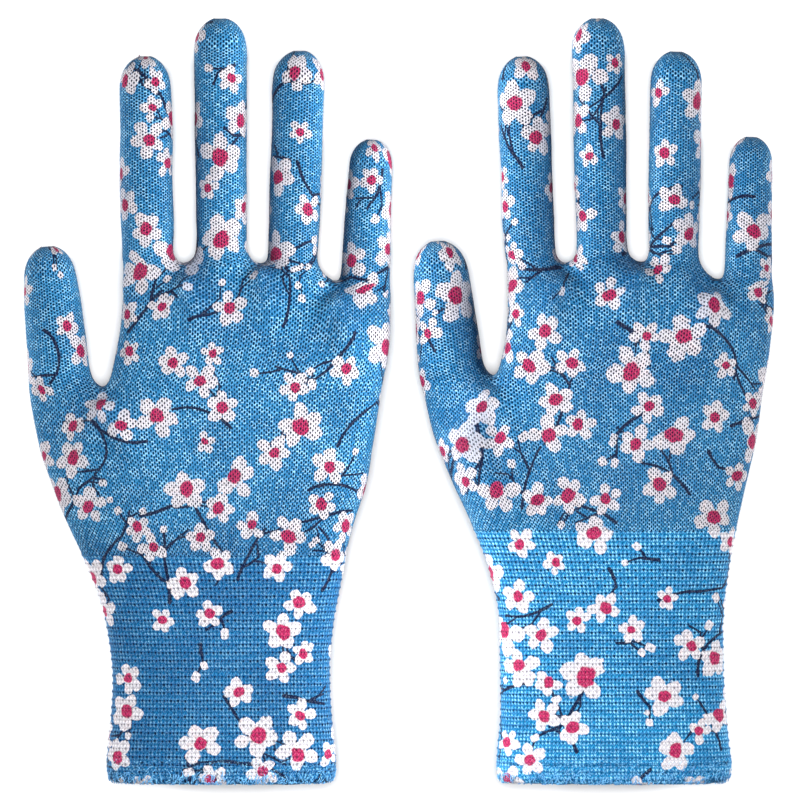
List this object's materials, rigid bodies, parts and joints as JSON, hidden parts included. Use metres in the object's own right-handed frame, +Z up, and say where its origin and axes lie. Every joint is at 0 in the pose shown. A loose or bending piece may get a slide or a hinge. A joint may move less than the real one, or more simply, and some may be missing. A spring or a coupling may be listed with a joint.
{
  "type": "gardening gloves",
  "caption": "Pair of lightweight seamless knitted gardening gloves with a flower print, long elastic cuffs and overlocked hems, laid flat side by side.",
  "frame": {"origin": "middle of the pair's footprint, on the surface that the gloves lie on", "axes": "+Z up, away from that surface; +Y from the hems to the fingertips; +X from the right-hand glove to the left-hand glove"},
  "size_m": [0.2354, 0.24, 0.028],
  "materials": {
    "printed_knit": "fine jersey knit with a slight sheen and a printed flower pattern",
    "rib_knit": "elastic rib knit with a printed flower pattern",
    "hem_yarn": "fuzzy overlock yarn",
    "elastic_thread": "covered elastic thread"
  },
  "bodies": {
    "right_palm": {"right_palm_lower": "printed_knit", "right_palm_upper": "printed_knit"},
    "right_cuff": {"right_cuff": "rib_knit", "right_hem": "hem_yarn", "right_elastic": "elastic_thread"},
    "right_thumb_base": {"right_thumb_base": "printed_knit"},
    "right_thumb_end": {"right_thumb_end": "printed_knit"},
    "right_index_base": {"right_index_base": "printed_knit"},
    "right_index_end": {"right_index_end": "printed_knit"},
    "right_middle_base": {"right_middle_base": "printed_knit"},
    "right_middle_end": {"right_middle_end": "printed_knit"},
    "right_ring_base": {"right_ring_base": "printed_knit"},
    "right_ring_end": {"right_ring_end": "printed_knit"},
    "right_little_base": {"right_little_base": "printed_knit"},
    "right_little_end": {"right_little_end": "printed_knit"},
    "left_palm": {"left_palm_lower": "printed_knit", "left_palm_upper": "printed_knit"},
    "left_cuff": {"left_cuff": "rib_knit", "left_hem": "hem_yarn", "left_elastic": "elastic_thread"},
    "left_thumb_base": {"left_thumb_base": "printed_knit"},
    "left_thumb_end": {"left_thumb_end": "printed_knit"},
    "left_index_base": {"left_index_base": "printed_knit"},
    "left_index_end": {"left_index_end": "printed_knit"},
    "left_middle_base": {"left_middle_base": "printed_knit"},
    "left_middle_end": {"left_middle_end": "printed_knit"},
    "left_ring_base": {"left_ring_base": "printed_knit"},
    "left_ring_end": {"left_ring_end": "printed_knit"},
    "left_little_base": {"left_little_base": "printed_knit"},
    "left_little_end": {"left_little_end": "printed_knit"}
  },
  "joints": [
    {"name": "right_wrist_fold", "type": "hinge", "parent": "right_palm", "child": "right_cuff", "pos_m": [-0.0555, -0.04845, 0.0257], "axis": [-1, 0, 0], "range_deg": [0, 80]},
    {"name": "right_thumb_knuckle", "type": "hinge", "parent": "right_palm", "child": "right_thumb_base", "pos_m": [-0.1059, 0.00605, 0.0203], "axis": [1, 0, 0], "range_deg": [0, 60]},
    {"name": "right_thumb_bend", "type": "hinge", "parent": "right_thumb_base", "child": "right_thumb_end", "pos_m": [-0.10788, 0.02593, 0.01844], "axis": [0.9951, 0.0991, 0], "range_deg": [0, 80]},
    {"name": "right_index_knuckle", "type": "hinge", "parent": "right_palm", "child": "right_index_base", "pos_m": [-0.0786, 0.04422, 0.0167], "axis": [0.9938, -0.1113, 0], "range_deg": [0, 90]},
    {"name": "right_index_bend", "type": "hinge", "parent": "right_index_base", "child": "right_index_end", "pos_m": [-0.07904, 0.07522, 0.01659], "axis": [0.9999, 0.0143, 0], "range_deg": [0, 100]},
    {"name": "right_middle_knuckle", "type": "hinge", "parent": "right_palm", "child": "right_middle_base", "pos_m": [-0.0555, 0.04163, 0.0165], "axis": [0.9938, -0.1113, 0], "range_deg": [0, 90]},
    {"name": "right_middle_bend", "type": "hinge", "parent": "right_middle_base", "child": "right_middle_end", "pos_m": [-0.0557, 0.07763, 0.0164], "axis": [1, 0.0057, 0], "range_deg": [0, 100]},
    {"name": "right_ring_knuckle", "type": "hinge", "parent": "right_palm", "child": "right_ring_base", "pos_m": [-0.0333, 0.03914, 0.0161], "axis": [0.9938, -0.1113, 0], "range_deg": [0, 90]},
    {"name": "right_ring_bend", "type": "hinge", "parent": "right_ring_base", "child": "right_ring_end", "pos_m": [-0.03228, 0.07113, 0.016], "axis": [0.9995, -0.0319, 0], "range_deg": [0, 100]},
    {"name": "right_little_knuckle", "type": "hinge", "parent": "right_palm", "child": "right_little_base", "pos_m": [-0.0105, 0.03659, 0.0157], "axis": [0.9938, -0.1113, 0], "range_deg": [0, 90]},
    {"name": "right_little_bend", "type": "hinge", "parent": "right_little_base", "child": "right_little_end", "pos_m": [-0.00947, 0.05856, 0.01478], "axis": [0.9989, -0.0469, 0], "range_deg": [0, 100]},
    {"name": "left_wrist_fold", "type": "hinge", "parent": "left_palm", "child": "left_cuff", "pos_m": [0.0675, -0.04055, 0.0263], "axis": [-1, 0, 0], "range_deg": [0, 80]},
    {"name": "left_thumb_knuckle", "type": "hinge", "parent": "left_palm", "child": "left_thumb_base", "pos_m": [0.0167, 0.01035, 0.0221], "axis": [1, 0, 0], "range_deg": [0, 60]},
    {"name": "left_thumb_bend", "type": "hinge", "parent": "left_thumb_base", "child": "left_thumb_end", "pos_m": [0.01463, 0.02921, 0.02015], "axis": [0.994, 0.1092, 0], "range_deg": [0, 80]},
    {"name": "left_index_knuckle", "type": "hinge", "parent": "left_palm", "child": "left_index_base", "pos_m": [0.0414, 0.04529, 0.0165], "axis": [0.9944, -0.1058, 0], "range_deg": [0, 90]},
    {"name": "left_index_bend", "type": "hinge", "parent": "left_index_base", "child": "left_index_end", "pos_m": [0.0401, 0.07626, 0.01639], "axis": [0.9991, 0.0419, 0], "range_deg": [0, 100]},
    {"name": "left_middle_knuckle", "type": "hinge", "parent": "left_palm", "child": "left_middle_base", "pos_m": [0.0639, 0.0429, 0.0165], "axis": [0.9944, -0.1058, 0], "range_deg": [0, 90]},
    {"name": "left_middle_bend", "type": "hinge", "parent": "left_middle_base", "child": "left_middle_end", "pos_m": [0.06327, 0.07889, 0.0164], "axis": [0.9998, 0.0174, 0], "range_deg": [0, 100]},
    {"name": "left_ring_knuckle", "type": "hinge", "parent": "left_palm", "child": "left_ring_base", "pos_m": [0.0863, 0.04051, 0.0161], "axis": [0.9944, -0.1058, 0], "range_deg": [0, 90]},
    {"name": "left_ring_bend", "type": "hinge", "parent": "left_ring_base", "child": "left_ring_end", "pos_m": [0.08672, 0.07251, 0.016], "axis": [0.9999, -0.013, 0], "range_deg": [0, 100]},
    {"name": "left_little_knuckle", "type": "hinge", "parent": "left_palm", "child": "left_little_base", "pos_m": [0.1095, 0.03804, 0.0155], "axis": [0.9944, -0.1058, 0], "range_deg": [0, 90]},
    {"name": "left_little_bend", "type": "hinge", "parent": "left_little_base", "child": "left_little_end", "pos_m": [0.11014, 0.06003, 0.01457], "axis": [0.9996, -0.029, 0], "range_deg": [0, 100]},
    {"name": "left_glove_lift", "type": "slide", "parent": "right_palm", "child": "left_palm", "axis": [0, 0, 1], "range_m": [0, 0.15]}
  ]
}
